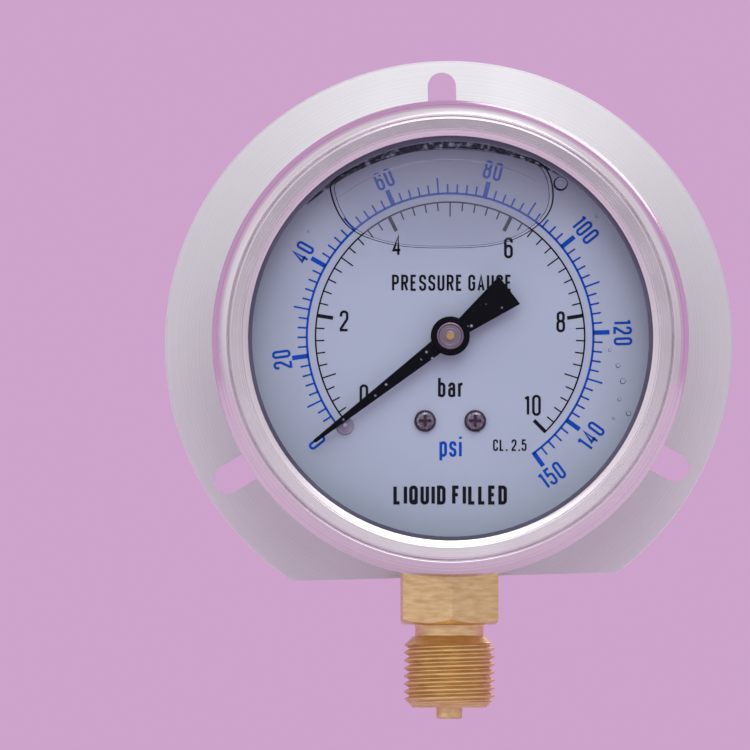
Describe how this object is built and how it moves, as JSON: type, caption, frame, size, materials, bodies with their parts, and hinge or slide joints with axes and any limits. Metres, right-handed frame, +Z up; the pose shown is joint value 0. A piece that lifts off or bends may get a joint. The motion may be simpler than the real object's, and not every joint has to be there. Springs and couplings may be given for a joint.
{
  "type": "pressure gauge",
  "caption": "Round liquid-filled dial pressure gauge with a rear mounting flange, a black pointer and a threaded brass stem at the bottom.",
  "frame": {"origin": "on the stem's axis at the lower end of its spigot", "axes": "+Z up along the stem towards twelve o'clock, +X towards three o'clock, the dial faces -Y"},
  "size_m": [0.132, 0.049, 0.153],
  "materials": {
    "case_steel": "satin drawn stainless steel",
    "flange_steel": "brushed stainless steel",
    "bezel_steel": "polished stainless steel",
    "small_steel": "plain steel",
    "screw_steel": "blackened steel",
    "black_rubber": "matt rubber",
    "window": "clear",
    "socket_brass": "turned",
    "movement_brass": "satin",
    "tube_bronze": "drawn bronze",
    "spring_bronze": "rolled bronze",
    "dial_white": "printed satin white",
    "pointer_black": "satin black",
    "cap_aluminium": "turned"
  },
  "bodies": {
    "case": {"case_shell": "case_steel", "mounting_flange": "flange_steel", "flange_rivets": "small_steel", "bezel_ring": "bezel_steel", "front_gasket": "black_rubber", "window_glass": "window", "window_seal": "black_rubber", "fill_plug": "black_rubber", "socket": "socket_brass", "socket_seal": "black_rubber", "saddle_washer": "movement_brass", "socket_nut": "movement_brass", "restrictor_screw": "small_steel", "dial_plate": "dial_white", "dial_screws": "screw_steel", "dial_spacers": "movement_brass", "stop_pin": "screw_steel", "back_plate": "movement_brass", "front_plate": "movement_brass", "movement_pillars": "movement_brass", "pillar_screws": "small_steel", "back_screws": "small_steel", "bourdon_tube": "tube_bronze", "hairspring": "spring_bronze", "hairspring_stud": "movement_brass"},
    "pointer": {"pinion_arbor": "movement_brass", "pointer": "pointer_black", "pointer_hub": "pointer_black", "pointer_cap": "cap_aluminium", "hairspring_collet": "movement_brass"},
    "sector": {"sector_gear": "movement_brass", "sector_arbor": "small_steel", "link_screw": "small_steel"},
    "link": {"link_bar": "movement_brass"},
    "tube_end": {"tube_tip": "movement_brass", "tip_screw": "small_steel"}
  },
  "joints": [
    {"name": "sector_swing", "type": "hinge", "parent": "case", "child": "sector", "pos_m": [0.01127, -0.0122, 0.06651], "axis": [0, -1, 0], "range_deg": [0, 30.22]},
    {"name": "pointer_turn", "type": "hinge", "parent": "case", "child": "pointer", "pos_m": [0, -0.02, 0.0877], "axis": [0, 1, 0], "range_deg": [0, 272], "deforming": ["hairspring"]},
    {"name": "tube_flex", "type": "slide", "parent": "case", "child": "tube_end", "axis": [0.4848, 0, 0.8746], "range_m": [0, 0.00418], "deforming": ["bourdon_tube"]},
    {"name": "link_pivot", "type": "hinge", "parent": "tube_end", "child": "link", "pos_m": [0.02347, -0.0108, 0.07393], "axis": [0, 1, 0], "range_deg": [0, 2.76]}
  ],
  "couplings": [
    {"joint": "pointer_turn", "follows": "sector_swing", "ratio": 9},
    {"joint": "tube_flex", "follows": "sector_swing", "m_per_rad": 0.007915},
    {"joint": "link_pivot", "follows": "sector_swing", "ratio": 0.090993}
  ]
}
